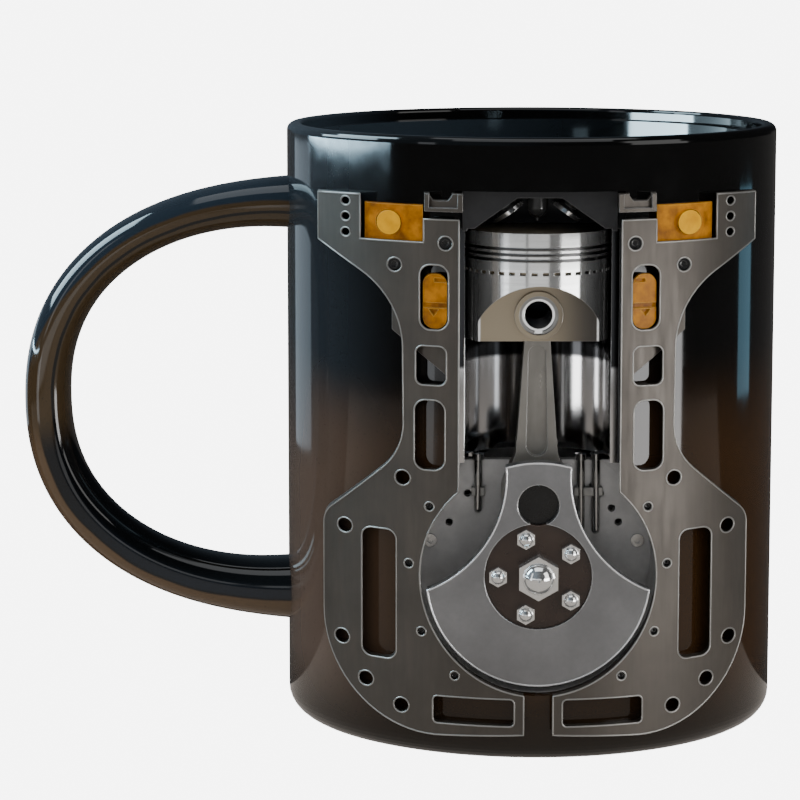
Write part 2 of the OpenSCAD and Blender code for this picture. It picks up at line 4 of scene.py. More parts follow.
import bmesh
import bpy
import numpy as np
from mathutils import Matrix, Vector


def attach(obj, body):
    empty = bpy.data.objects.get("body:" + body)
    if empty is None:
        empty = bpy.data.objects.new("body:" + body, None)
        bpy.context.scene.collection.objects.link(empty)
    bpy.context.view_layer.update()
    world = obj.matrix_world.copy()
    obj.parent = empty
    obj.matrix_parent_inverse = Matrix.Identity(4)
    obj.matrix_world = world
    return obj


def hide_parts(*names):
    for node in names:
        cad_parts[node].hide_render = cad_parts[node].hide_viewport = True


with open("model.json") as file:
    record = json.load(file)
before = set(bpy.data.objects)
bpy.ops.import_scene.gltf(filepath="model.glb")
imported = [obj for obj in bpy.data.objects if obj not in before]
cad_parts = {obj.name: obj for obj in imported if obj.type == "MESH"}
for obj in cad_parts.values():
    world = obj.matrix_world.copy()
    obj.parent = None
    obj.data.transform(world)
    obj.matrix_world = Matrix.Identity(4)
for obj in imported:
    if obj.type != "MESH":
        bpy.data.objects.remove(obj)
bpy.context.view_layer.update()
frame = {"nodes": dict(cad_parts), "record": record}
nodes = frame["nodes"]
mm = 0.001


def placed(name, mesh, finish, body):
    piece = bpy.data.objects.new(name, mesh)
    bpy.context.scene.collection.objects.link(piece)
    mesh.materials.append(finish)
    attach(piece, body)
    return piece


# points[i, j] is the surface at step i of its first parameter and step j of its second;
# each face joins four neighbours, and a wrapped parameter joins its last step to its first
def gridMesh(name, points, wrapFirst=False, wrapSecond=False, sharpAngle=40):
    rows, cols = points.shape[:2]
    index = np.arange(rows * cols).reshape(rows, cols)
    i, j = np.meshgrid(np.arange(rows - (not wrapFirst)), np.arange(cols - (not wrapSecond)), indexing="ij")
    iNext, jNext = (i + 1) % rows, (j + 1) % cols
    quads = np.stack([index[i, j], index[iNext, j], index[iNext, jNext], index[i, jNext]], -1).reshape(-1, 4)
    return cleanMesh(name, points.reshape(-1, 3), quads, sharpAngle)


# merges coincident points, drops faces with no area, turns faces outward and smooths below an angle
def cleanMesh(name, points, faces, sharpAngle):
    mesh = bpy.data.meshes.new(name)
    mesh.from_pydata(points.tolist(), [], faces.tolist())
    work = bmesh.new()
    work.from_mesh(mesh)
    bmesh.ops.remove_doubles(work, verts=work.verts, dist=2e-6)
    bmesh.ops.dissolve_degenerate(work, edges=work.edges, dist=1e-7)
    bmesh.ops.recalc_face_normals(work, faces=work.faces)
    work.to_mesh(mesh)
    work.free()
    mesh.shade_smooth()
    mesh.set_sharp_from_angle(angle=math.radians(sharpAngle))
    return mesh


class Finish:
    def __init__(self, name):
        self.material = bpy.data.materials.new(name)
        self.material.use_nodes = True
        self.tree = self.material.node_tree
        self.shader = self.tree.nodes["Principled BSDF"]
        self.place = self.add("ShaderNodeTexCoord").outputs["Object"]

    def add(self, kind, **settings):
        made = self.tree.nodes.new(kind)
        for key, value in settings.items():
            setattr(made, key, value)
        return made

    def join(self, source, target):
        self.tree.links.new(source, target)

    def fixed(self, **values):
        for key, value in values.items():
            self.shader.inputs[key.replace("_", " ")].default_value = value

    # a noise stretched along one axis by scaling the coordinates
    def grain(self, scale, stretch=(1, 1, 1), detail=4.0, rough=0.55):
        mapping = self.add("ShaderNodeMapping")
        mapping.inputs["Scale"].default_value = stretch
        self.join(self.place, mapping.inputs["Vector"])
        noise = self.add("ShaderNodeTexNoise")
        noise.inputs["Scale"].default_value = scale
        noise.inputs["Detail"].default_value = detail
        noise.inputs["Roughness"].default_value = rough
        self.join(mapping.outputs["Vector"], noise.inputs["Vector"])
        return noise.outputs["Fac"]

    # straight-line map of a value from one range to another, held at the ends
    def ranged(self, value, low, high, outLow, outHigh, smooth=False):
        node = self.add("ShaderNodeMapRange")
        if smooth:
            node.interpolation_type = "SMOOTHSTEP"
        for key, number in (("From Min", low), ("From Max", high), ("To Min", outLow), ("To Max", outHigh)):
            node.inputs[key].default_value = number
        self.join(value, node.inputs["Value"])
        return node.outputs["Result"]

    def mixed(self, factor, first, second, blend="MIX"):
        node = self.add("ShaderNodeMix", data_type="RGBA", blend_type=blend)
        for socket, value in ((node.inputs[0], factor), (node.inputs[6], first), (node.inputs[7], second)):
            if isinstance(value, (int, float)):
                socket.default_value = value
            elif isinstance(value, tuple):
                socket.default_value = (*value, 1) if len(value) == 3 else value
            else:
                self.join(value, socket)
        return node.outputs[2]

    def maths(self, operation, first, second=0.0):
        node = self.add("ShaderNodeMath", operation=operation)
        for socket, value in ((node.inputs[0], first), (node.inputs[1], second)):
            if isinstance(value, (int, float)):
                socket.default_value = value
            else:
                self.join(value, socket)
        return node.outputs[0]

    def axes(self):
        node = self.add("ShaderNodeSeparateXYZ")
        self.join(self.place, node.inputs[0])
        return node.outputs

    # 0 on flats and 1 on edges: how far a rounded normal leans from the true one
    def edges(self, radius, lean=0.12):
        bevel = self.add("ShaderNodeBevel", samples=4)
        bevel.inputs["Radius"].default_value = radius
        geometry = self.add("ShaderNodeNewGeometry")
        dot = self.add("ShaderNodeVectorMath", operation="DOT_PRODUCT")
        self.join(bevel.outputs[0], dot.inputs[0])
        self.join(geometry.outputs["Normal"], dot.inputs[1])
        return bevel.outputs[0], self.ranged(dot.outputs["Value"], 1 - lean, 1.0, 1.0, 0.0)

    def bump(self, height, strength, distance, normal=None):
        node = self.add("ShaderNodeBump")
        node.inputs["Strength"].default_value = strength
        node.inputs["Distance"].default_value = distance
        self.join(height, node.inputs["Height"])
        if normal is not None:
            self.join(normal, node.inputs["Normal"])
        self.join(node.outputs[0], self.shader.inputs["Normal"])


# bare metal: a base colour that drifts a little, directional grain, and rounded edges paled partly by wear
# and partly as a painted highlight
def metalFinish(name, look):
    f = Finish(name)
    f.fixed(Metallic=look.get("metallic", 1.0))
    drift = f.grain(look.get("driftScale", 140), detail=3)
    fine = f.grain(look["grainScale"], look.get("stretch", (1, 1, 1)), detail=5, rough=0.6)
    base = look["color"]
    dark = tuple(c * look.get("drift", 0.78) for c in base)
    color = f.mixed(f.ranged(drift, 0.3, 0.7, 0, 1), dark, base)
    streaks = f.ranged(fine, 0.35, 0.7, 0, look.get("streak", 0.25))
    color = f.mixed(streaks, color, tuple(c * 0.6 for c in base))
    normal, edge = f.edges(look.get("edgeRadius", 0.2 * mm))
    # inside the piston's recess the colour is a painted reflection, a bronze tone, shading across x into a
    # painted shade
    if look.get("recessReflection"):
        inside = innerMask(f, look["innerRadius"])
        shade = f.ranged(f.axes()[0], *look["innerSpan"], 0, 1, smooth=True)
        tone = f.mixed(shade, look["recessReflection"], look["recessShade"])
        color = f.mixed(inside, color, tone)
    # a painted shadow: above a height the liner turns dark, where the bore's upper part lies in shade
    if look.get("boreShadowAbove"):
        height = f.ranged(f.axes()[2], look["boreShadowAbove"] - 0.8 * mm, look["boreShadowAbove"], 0, 1, smooth=True)
        color = f.mixed(height, color, look["boreShadow"])
    # rounded edges are paled towards light grey: partly wear, partly a painted highlight
    wearAndHighlight = f.maths("MULTIPLY", edge, look.get("edge", 0.6))
    color = f.mixed(wearAndHighlight, color, (0.75, 0.75, 0.74))
    f.join(color, f.shader.inputs["Base Color"])
    rough = look["rough"]
    spread = look.get("roughSpread", 0.07)
    value = f.ranged(fine, 0.3, 0.7, rough - spread, rough + spread)
    if look.get("recessReflection"):
        blend = f.add("ShaderNodeMix", data_type="FLOAT")
        f.join(inside, blend.inputs[0])
        f.join(value, blend.inputs[2])
        blend.inputs[3].default_value = look["innerRough"]
        value = blend.outputs[0]
    f.join(value, f.shader.inputs["Roughness"])
    f.bump(fine, look.get("bump", 0.15), look.get("bumpDepth", 0.02 * mm), normal)
    return f.material


# 1 on faces nearer the cylinder's own axis than a radius, 0 on its turned outside
def innerMask(f, radius):
    x, y, z = f.axes()
    across = f.maths("ADD", y, 0.029)
    squared = f.maths("ADD", f.maths("MULTIPLY", x, x), f.maths("MULTIPLY", across, across))
    return f.ranged(squared, (radius - 0.1 * mm) ** 2, radius ** 2, 1.0, 0.0)


print("finishes: metals")
metalLooks = {
    "plateSteel": {"color": (0.078, 0.067, 0.056), "rough": 0.42, "grainScale": 900,
                   "stretch": (1, 1, 0.12),
                   "streak": 0.3, "edge": 0.35, "edgeRadius": 0.18 * mm, "metallic": 0.55},
    "bareSteel": {"color": (0.42, 0.42, 0.41), "rough": 0.34, "grainScale": 1200},
    "brightSteel": {"color": (0.66, 0.66, 0.65), "rough": 0.2, "grainScale": 1400, "edgeRadius": 0.12 * mm},
    "caseMetal": {"color": (0.72, 0.71, 0.70), "rough": 0.36, "grainScale": 700, "streak": 0.3, "bump": 0.3,
                  "metallic": 0.3},
    "darkMetal": {"color": (0.040, 0.040, 0.042), "rough": 0.40, "grainScale": 800, "edge": 0.2,
                  "metallic": 0.6},
    "chrome": {"color": (0.86, 0.86, 0.85), "rough": 0.09, "roughSpread": 0.03, "grainScale": 900,
               "streak": 0.06,
               "drift": 0.95, "bump": 0.03, "edgeRadius": 0.15 * mm, "metallic": 0.9},
    "linerChrome": {"color": (0.68, 0.68, 0.685), "rough": 0.10, "roughSpread": 0.03, "grainScale": 900,
                    "stretch": (1, 1, 0.05), "streak": 0.12, "drift": 0.9, "bump": 0.04,
                    # the liner's dark band above this height is a painted shadow
                    "boreShadowAbove": 0.0632,
                    "boreShadow": (0.030, 0.031, 0.033)},
    "webSteel": {"color": (0.27, 0.27, 0.275), "rough": 0.36, "grainScale": 1000, "streak": 0.2,
                 "edge": 0.9,
                 "edgeRadius": 0.28 * mm, "metallic": 0.8},
    "pinSteel": {"color": (0.05, 0.05, 0.05), "rough": 0.3, "grainScale": 900},
    "rodSteel": {"color": (0.36, 0.345, 0.315), "rough": 0.33, "grainScale": 900,
                 "stretch": (1, 1, 0.2), "edge": 0.6,
                 "metallic": 0.75},
    "bronze": {"color": (0.45, 0.29, 0.14), "rough": 0.3, "grainScale": 900},
    "pistonAlloy": {"color": (0.70, 0.70, 0.69), "rough": 0.13, "roughSpread": 0.04, "grainScale": 260,
                    "stretch": (0.05, 0.05, 6), "streak": 0.16, "drift": 0.9, "edge": 0.5,
                    "edgeRadius": 0.14 * mm,
                    # the recess's bronze colour is a painted reflection and its dark end a painted shade
                    "bump": 0.05, "metallic": 0.85, "recessReflection": (0.40, 0.34, 0.25),
                    "innerRadius": 11.35 * mm,
                    "recessShade": (0.085, 0.078, 0.070), "innerSpan": (-1 * mm, 9 * mm), "innerRough": 0.32},
    "ringIron": {"color": (0.10, 0.10, 0.10), "rough": 0.3, "grainScale": 900, "stretch": (0.1, 0.1, 3)},
    "springSteel": {"color": (0.3, 0.3, 0.31), "rough": 0.3, "grainScale": 900},
}
finishes = {name: metalFinish(name, look) for name, look in metalLooks.items()}


# glaze: its colour carries painted reflections, navy to black across the top and warm brown low down, under
# a clear wet coat
def glazeFinish(name, look):
    f = Finish(name)
    x, y, z = f.axes()
    soft = f.grain(28, detail=2)
    height = f.maths("ADD", z, f.ranged(soft, 0.3, 0.7, -look["wander"], look["wander"]))
    low = f.ranged(height, look["fade"][0], look["fade"][1], 1, 0, smooth=True)
    # the colour's change from left to right and top to bottom is painted reflection: a cool wall on the
    # left, a warm floor low down
    side = f.ranged(x, *look["across"], 0, 1, smooth=True)
    upper = f.mixed(side, look["upperLeft"], look["upperRight"])
    lower = f.mixed(side, look["lowerLeft"], look["lowerRight"])
    color = f.mixed(low, upper, lower)
    # a painted shade darkens the rounded foot near the floor
    foot = f.ranged(z, 0.001, 0.015, look["footShade"], 0, smooth=True)
    color = f.mixed(foot, color, look["footShadeColor"])
    speck = f.grain(2200, detail=2)
    color = f.mixed(f.ranged(speck, 0.62, 0.72, 0, 0.25), color, (0.004, 0.004, 0.004))
    f.join(color, f.shader.inputs["Base Color"])
    f.fixed(IOR=1.5, Specular_IOR_Level=look["shine"])
    rough = f.ranged(f.grain(300), 0.3, 0.7, look["rough"], look["rough"] + 0.04)
    f.join(rough, f.shader.inputs["Roughness"])
    f.bump(f.grain(90, detail=2), 0.06, 0.05 * mm)
    return f.material


glazeLook = {"wander": 0.005, "fade": (0.044, 0.066), "across": (-0.042, -0.020),
             "upperLeft": (0.022, 0.032, 0.042), "upperRight": (0.002, 0.002, 0.002),
             "lowerLeft": (0.105, 0.078, 0.062), "lowerRight": (0.026, 0.012, 0.004),
             "footShade": 0.92, "footShadeColor": (0.009, 0.007, 0.005), "rough": 0.05, "shine": 0.38}
finishes["mugGlaze"] = glazeFinish("mugGlaze", glazeLook)
# the inside of the cup carries the same painted reflection, navy on the left fading to black
cupLook = dict(glazeLook, across=(-0.036, 0.03), lowerLeft=(0.010, 0.012, 0.016),
               lowerRight=(0.006, 0.006, 0.007), footShade=0.0)
finishes["cupGlaze"] = glazeFinish("cupGlaze", cupLook)


# enamel: one deep colour with a fine ripple and paler edges, partly worn and partly a painted highlight
def enamelFinish(name, color, rough, coat):
    f = Finish(name)
    cloud = f.grain(160, detail=3)
    body = f.mixed(f.ranged(cloud, 0.3, 0.7, 0, 1), tuple(c * 0.6 for c in color), color)
    normal, edge = f.edges(0.2 * mm)
    # edges paled towards a lighter tone: partly wear, partly a painted highlight
    body = f.mixed(f.maths("MULTIPLY", edge, 0.5), body, tuple(min(1, c * 3 + 0.08) for c in color))
    f.join(body, f.shader.inputs["Base Color"])
    f.join(f.ranged(cloud, 0.3, 0.7, rough, rough + 0.1), f.shader.inputs["Roughness"])
    f.fixed(Coat_Weight=coat, Coat_Roughness=0.05)
    f.bump(f.grain(700, detail=3), 0.08, 0.02 * mm, normal)
    return f.material


finishes["hubEnamel"] = enamelFinish("hubEnamel", (0.030, 0.016, 0.010), 0.22, 0.15)
finishes["plugCeramic"] = enamelFinish("plugCeramic", (0.06, 0.06, 0.06), 0.2, 1.0)


# amber: clear orange plastic, cloudy inside, its tone wandering between a deep and a paler orange, with a
# painted glow for light through it and painted highlights on its edges
def amberFinish(name, color, deep, glow):
    f = Finish(name)
    cloud = f.grain(420, detail=4)
    body = f.mixed(f.ranged(cloud, 0.32, 0.68, 0, 1), deep, color)
    normal, edge = f.edges(0.25 * mm)
    # edges brightened towards bright orange: a painted highlight
    body = f.mixed(f.maths("MULTIPLY", edge, 0.35), body, (1.0, 0.62, 0.12))
    f.join(body, f.shader.inputs["Base Color"])
    # the emission is a painted glow standing in for light through the plastic; glow sets its strength
    f.join(body, f.shader.inputs["Emission Color"])
    f.fixed(Emission_Strength=glow, Coat_Weight=0.05, Coat_Roughness=0.05, Specular_IOR_Level=0.08)
    f.join(f.ranged(cloud, 0.3, 0.7, 0.35, 0.5), f.shader.inputs["Roughness"])
    f.bump(f.grain(900, detail=3), 0.1, 0.02 * mm, normal)
    return f.material


finishes["amber"] = amberFinish("amber", (0.46, 0.175, 0.001), (0.17, 0.055, 0.001), 0.08)
finishes["amberLens"] = amberFinish("amberLens", (0.66, 0.33, 0.001), (0.50, 0.22, 0.001), 0.16)

slotFinish = {
    "mug_glaze": "mugGlaze", "cup_glaze": "cupGlaze", "plate_steel": "plateSteel",
    "bare_steel": "bareSteel",
    "bright_steel": "brightSteel", "case_metal": "caseMetal", "dark_metal": "darkMetal", "chrome": "chrome",
    "plug_ceramic": "plugCeramic", "web_steel": "webSteel", "hub_enamel": "hubEnamel",
    "pin_steel": "pinSteel",
    "rod_steel": "rodSteel", "bronze": "bronze", "piston_alloy": "pistonAlloy", "ring_iron": "ringIron",
    "spring_steel": "springSteel", "amber": "amber", "amber_lens": "amberLens",
}
ownFinish = {"cylinder_liner": "linerChrome", "plate_screws": "pinSteel"}
for row in frame["record"]["subparts"]:
    name = ownFinish.get(row["node"], slotFinish[row["material_slot"]])
    for place in nodes[row["node"]].material_slots:
        place.material = finishes[name]

print("handle")
handleLook = {"reach": 42.2, "rise": 33.0, "midHeight": 53.6, "rootX": 39.5, "halfTop": 3.4, "halfLow": 4.3,
              "halfWide": 6.2, "flare": 1.0, "square": 0.89, "steps": (180, 56)}


# middle line: x = -(rootX + reach |cos u|^s), z = mid + rise sgn(u)|sin u|^s, for u from -90 to 90 degrees;
# section: t |cos q|^0.8 along the line's own normal and w |sin q|^0.8 along y, wider towards the roots
def handleSurface(look):
    u = np.radians(np.linspace(-90, 90, look["steps"][0]))[:, None]
    q = np.linspace(0, 2 * np.pi, look["steps"][1], endpoint=False)[None, :]
    cu, su = np.abs(np.cos(u)) ** look["square"], np.sign(u) * np.abs(np.sin(u)) ** look["square"]
    x = -(look["rootX"] + look["reach"] * cu)
    z = look["midHeight"] + look["rise"] * su
    nx, nz = -cu ** 1.25 / look["reach"], np.sign(u) * np.abs(su) ** 1.25 / look["rise"]
    length = np.hypot(nx, nz)
    share = (u + np.pi / 2) / np.pi
    root = (np.abs(u) / (np.pi / 2)) ** 7 * look["flare"]
    t = look["halfLow"] + (look["halfTop"] - look["halfLow"]) * share + root
    w = look["halfWide"] + root
    s = np.sign(np.cos(q)) * np.abs(np.cos(q)) ** 0.8 * t
    y = np.sign(np.sin(q)) * np.abs(np.sin(q)) ** 0.8 * w
    return np.stack([x + s * nx / length, y + 0 * x, z + s * nz / length], -1) * mm


# two numbers on each vertex: "across" is +1 on the loop's outer side and -1 on its inner side,
# "along" runs from -1 at the lower root to +1 at the upper one; both follow from the vertex's place
def markHandle(mesh, look):
    place = np.empty(len(mesh.vertices) * 3)
    mesh.vertices.foreach_get("co", place)
    x, y, z = place.reshape(-1, 3).T / mm
    px, pz = np.maximum(-x - look["rootX"], 0) / look["reach"], (z - look["midHeight"]) / look["rise"]
    power = 2 / look["square"]
    reach = (px ** power + np.abs(pz) ** power) ** (1 / power)
    half = (look["halfTop"] + look["halfLow"]) / 2
    size = np.hypot(px * look["reach"], pz * look["rise"]) / np.maximum(reach, 0.1)
    across = np.clip((reach - 1) * size / half, -1.2, 1.2)
    root = 1 / look["square"]
    along = np.arctan2(np.sign(pz) * np.abs(pz) ** root, px ** root) / (np.pi / 2)
    for name, value in (("across", across), ("along", along)):
        mesh.attributes.new(name, "FLOAT", "POINT").data.foreach_set("value", value)


# the loop's glaze carries painted reflections in long bands: navy over brown above, brown over near-black
# below
def handleFinish(name, look):
    f = Finish(name)
    across = f.add("ShaderNodeAttribute", attribute_name="across").outputs["Fac"]
    along = f.add("ShaderNodeAttribute", attribute_name="along").outputs["Fac"]
    wander = f.ranged(f.grain(60, detail=2), 0.3, 0.7, -0.06, 0.06)
    band = f.maths("ADD", across, wander)
    taper = f.ranged(along, -0.05, 0.45, 0.9, 0.18, smooth=True)
    split = f.maths("SUBTRACT", band, taper)
    upper = f.mixed(f.ranged(split, -0.06, 0.06, 0, 1, smooth=True), look["brown"], look["navy"])
    # a painted shade: a dark line along the crease between the loop's faces
    line = f.maths("ABSOLUTE", f.maths("ADD", band, 0.34))
    upper = f.mixed(f.ranged(line, 0.03, 0.10, 1, 0, smooth=True), upper, look["black"])
    lower = f.mixed(f.ranged(band, 0.30, 0.42, 0, 1, smooth=True), look["black"], look["lowBrown"])
    # a painted reflection: a navy sheen across the lower half
    rising = f.ranged(band, -0.45, 0.0, 0, 1, smooth=True)
    sheen = f.maths("MULTIPLY", rising, f.ranged(band, 0.22, 0.34, 1, 0))
    sheen = f.maths("MULTIPLY", sheen, f.ranged(along, -0.75, -0.25, 1, 0.25))
    lower = f.mixed(sheen, lower, look["lowNavy"])
    color = f.mixed(f.ranged(along, -0.16, -0.02, 0, 1, smooth=True), lower, upper)
    speck = f.grain(2200, detail=2)
    color = f.mixed(f.ranged(speck, 0.62, 0.72, 0, 0.25), color, look["black"])
    f.join(color, f.shader.inputs["Base Color"])
    f.fixed(IOR=1.5, Specular_IOR_Level=look["shine"])
    rough = f.ranged(f.grain(300), 0.3, 0.7, look["rough"], look["rough"] + 0.04)
    f.join(rough, f.shader.inputs["Roughness"])
    f.bump(f.grain(90, detail=2), 0.06, 0.05 * mm)
    return f.material


# navy, brown, lowBrown and lowNavy are painted reflections; black is the glaze's own near-black
handleGlazeLook = {"navy": (0.012, 0.020, 0.030), "brown": (0.044, 0.028, 0.013),
                   "black": (0.002, 0.0025, 0.003),
                   "lowBrown": (0.082, 0.050, 0.026), "lowNavy": (0.008, 0.012, 0.018), "rough": 0.05,
                   "shine": 0.5}
finishes["handleGlaze"] = handleFinish("handleGlaze", handleGlazeLook)
handleMesh = gridMesh("handleLoop", handleSurface(handleLook), wrapSecond=True, sharpAngle=80)
markHandle(handleMesh, handleLook)
handle = placed("handleLoop", handleMesh, finishes["handleGlaze"], "housing")
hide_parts("handle")

print("plate edges")
plateLook = {"radius": 43.2, "bead": 0.15, "sides": 8, "top": 91.0, "low": 5.1,
             "channel": 12.8, "opening": 18.9,
             "crank": 30.2, "step": 87.2, "wing": (35.2, 82.8), "window": (18.3, 28.4, 83.5),
             "slots": [(14.4, 69.7, 19.0, 80.1, 1.8), (14.7, 60.9, 19.6, 67.2, 1.2),
                       (14.9, 47.3, 19.8, 58.6, 1.8), (22.6, 16.0, 28.2, 37.2, 1.6),
                       (3.8, 6.4, 16.8, 10.9, 0.8)],
             "holes": [(21.6, 45.8, 1.25), (30.9, 36.8, 1.25), (31.4, 18.4, 1.25), (27.5, 12.2, 1.25),
                       (21.8, 8.7, 1.25), (30.7, 84.4, 0.75), (30.7, 86.9, 0.75), (30.7, 89.4, 0.75),
                       (14.9, 83.5, 1.15), (22.9, 79.8, 1.15)],
             "ringHoles": (20.7, (33, 5, -26, -50), 0.75)}


# part of a circle: centre plus radius times (cos a, sin a), for a from start to stop in degrees
def arc(x, z, radius, start, stop, steps=14):
    a = np.radians(np.linspace(start, stop, steps + 1))
    return np.stack([x + radius * np.cos(a), z + radius * np.sin(a)], -1)


# a rectangle whose four corners are quarter circles of radius r
def roundedWindow(x0, z0, x1, z1, r):
    return np.concatenate([arc(x1 - r, z0 + r, r, -90, 0, 8), arc(x1 - r, z1 - r, r, 0, 90, 8),
                           arc(x0 + r, z1 - r, r, 90, 180, 8), arc(x0 + r, z0 + r, r, 180, 270, 8)])


# the right plate's outline: straight steps at the head, arcs down the outer side and round the foot,
# and the crank opening's circle between the foot's gap and the channel, whose angles have cosine x / ring
def plateOutline(look):
    crank, ring, channel = look["crank"], look["opening"], look["channel"]
    meet = math.degrees(math.acos(channel / ring))
    notch = math.degrees(math.acos(2.35 / ring))
    inner, outer, sill = look["window"]
    top = look["top"]
    wingX, wingZ = look["wing"]
    return np.concatenate([
        [[channel, look["step"]], [inner, look["step"]], [inner, sill], [outer, sill], [outer, top - 0.4],
         [wingX, top - 0.6], [wingX, wingZ]],
        arc(35.6, 66.6, 14, 122, 180), arc(31.5, 54.5, 10, 180, 228), arc(30.4, 36.6, 4, 48, 0, 8),
        arc(16.4, 22.5, 18, 0, -90, 20), [[2.35, look["low"]]], arc(0, crank, ring, -notch, meet, 48)])


# resamples a closed outline so no step is longer than a limit, keeping its corners
def stepped(outline, longest=1.2):
    pieces = []
    for a, b in zip(outline, np.roll(outline, -1, axis=0)):
        count = max(1, int(np.ceil(np.linalg.norm(b - a) / longest)))
        pieces.append(a + (b - a) * (np.arange(count) / count)[:, None])
    return np.concatenate(pieces)


# a round bead carried along a closed outline laid on the plate's face:
# P(s, q) = C(s) + r (cos q n + sin q b), with n the face's outward normal and b across the outline
def beadSurface(outline, look, side):
    path = stepped(outline)
    x, z = path[:, 0] * side, path[:, 1]
    y = -np.sqrt(look["radius"] ** 2 - x ** 2)
    centre = np.stack([x, y, z], -1)
    normal = np.stack([x, y, 0 * x], -1) / look["radius"]
    centre = centre - normal * look["bead"] * 0.45
    along = np.roll(centre, -1, axis=0) - np.roll(centre, 1, axis=0)
    along /= np.linalg.norm(along, axis=1, keepdims=True)
    across = np.cross(along, normal)
    across /= np.linalg.norm(across, axis=1, keepdims=True)
    q = np.linspace(0, 2 * np.pi, look["sides"], endpoint=False)[None, :, None]
    ring = np.cos(q) * normal[:, None] + np.sin(q) * across[:, None]
    return (centre[:, None] + look["bead"] * ring) * mm


# several closed tubes in one mesh: each point joins the next along its tube and the next round it
def joinedMesh(name, surfaces, sharpAngle=60):
    points, faces, start = [], [], 0
    for surface in surfaces:
        rows, cols = surface.shape[:2]
        index = np.arange(rows * cols).reshape(rows, cols) + start
        ahead = np.roll(index, -1, 0)
        quads = np.stack([index, ahead, np.roll(ahead, -1, 1), np.roll(index, -1, 1)], -1)
        points.append(surface.reshape(-1, 3))
        faces.append(quads.reshape(-1, 4))
        start += rows * cols
    return cleanMesh(name, np.concatenate(points), np.concatenate(faces), sharpAngle)


ringR, ringAngles, ringHole = plateLook["ringHoles"]
ringTurns = [math.radians(a) for a in ringAngles]
holes = plateLook["holes"] + [(ringR * math.cos(a), plateLook["crank"] + ringR * math.sin(a), ringHole)
                              for a in ringTurns]
outlines = [plateOutline(plateLook)] + [roundedWindow(*w) for w in plateLook["slots"]]
outlines += [arc(x, z, r, 0, 360, 20)[:-1] for x, z, r in holes]
finishes["edgeSteel"] = metalFinish("edgeSteel", {"color": (0.34, 0.33, 0.31), "rough": 0.36,
                                                  "grainScale": 1200,
                                               "metallic": 0.7, "streak": 0.1, "edge": 0.0})
for side, word in ((-1, "left"), (1, "right")):
    surfaces = [beadSurface(outline, plateLook, side) for outline in outlines]
    edges = joinedMesh("plateEdges_" + word, surfaces)
    placed("plateEdges_" + word, edges, finishes["edgeSteel"], "housing")

# a bright chamfer round the crank web: bottom arc, two concave flanks and the neck's arc
print("web edge")
webLook = {"radius": 17.9, "neck": 18.4, "cut": (24.6, 16.0, 19.4), "crank": 30.2, "face": -40.0,
           "bead": 0.17, "sides": 8}


# the angle at the crank's axis between a cut circle's centre and where it meets a circle round the axis:
# cos angle = (away^2 + radius^2 - cut radius^2) / (2 away radius)
def meetAngle(radius, cut):
    away = math.hypot(cut[0], cut[1])
    return math.degrees(math.acos((away ** 2 + radius ** 2 - cut[2] ** 2) / (2 * away * radius)))


def onCircle(radius, angle):
    turned = math.radians(angle)
    return np.array([radius * math.cos(turned), radius * math.sin(turned)])


# the web's outline: a concave flank cut by a circle, the neck's arc, the mirrored flank and the lower arc
def webOutline(look):
    cx, cz, cr = look["cut"]
    lean = math.degrees(math.atan2(cz, cx))
    low = lean - meetAngle(look["radius"], look["cut"])
    high = lean + meetAngle(look["neck"], look["cut"])
    start, stop = [np.degrees(np.arctan2(*(place - (cx, cz))[::-1])) % 360
                   for place in (onCircle(look["radius"], low), onCircle(look["neck"], high))]
    flank = arc(cx, cz, cr, start, stop, 40)
    neck = arc(0, 0, look["neck"], high, 180 - high, 16)[1:-1]
    belly = arc(0, 0, look["radius"], 180 - low, 360 + low, 90)[1:-1]
    return np.concatenate([flank, neck, flank[::-1] * (-1, 1), belly]) + (0, look["crank"])


# a round bead carried along a closed outline on a flat face: P(s, q) = C(s) + r (cos q across + sin q y)
def flatBead(outline, look):
    depth = 0 * outline[:, 0] + look["face"] + look["bead"] * 0.5
    centre = np.stack([outline[:, 0], depth, outline[:, 1]], -1)
    along = np.roll(centre, -1, axis=0) - np.roll(centre, 1, axis=0)
    along /= np.linalg.norm(along, axis=1, keepdims=True)
    across = np.cross(along, (0, 1, 0))
    q = np.linspace(0, 2 * np.pi, look["sides"], endpoint=False)[None, :, None]
    centre = centre + across * look["bead"] * 0.8
    ring = np.cos(q) * across[:, None] + np.sin(q) * np.array([0, 1, 0])
    return (centre[:, None] + look["bead"] * ring) * mm


finishes["webEdge"] = metalFinish("webEdge", {"color": (0.85, 0.85, 0.85), "rough": 0.22,
                                              "grainScale": 1200,
                                             "streak": 0.05, "edge": 0.0, "metallic": 0.6})
chamfer = joinedMesh("webChamfer", [flatBead(webOutline(webLook), webLook)])
placed("webChamfer", chamfer, finishes["webEdge"], "crank")

print("room and light")
roomLook = {"half": 30.0, "paper": (0.88, 0.88, 0.88), "glow": 6.0, "backdrop": 7.0, "daylight": 0.95,
            "flagFrom": 0.42, "flagTo": 8.0, "flagColor": (0.075, 0.072, 0.070),
            "nearColor": (0.50, 0.46, 0.42), "nearBehind": 0.012, "ringSteps": 96,
            "cool": (0.13, 0.17, 0.21), "dim": (0.012, 0.012, 0.014), "warm": (0.11, 0.075, 0.050)}


# a staged sheet: which rays meet it is given by the words in seenBy
def stageSheet(name, points, faces, finish, seenBy):
    mesh = bpy.data.meshes.new(name)
    mesh.from_pydata(points, [], faces)
    sheet = bpy.data.objects.new(name, mesh)
    bpy.context.scene.collection.objects.link(sheet)
    mesh.materials.append(finish.material)
    for ray in ("camera", "diffuse", "glossy", "transmission", "shadow"):
        setattr(sheet, "visible_" + ray, ray in seenBy)
    return sheet


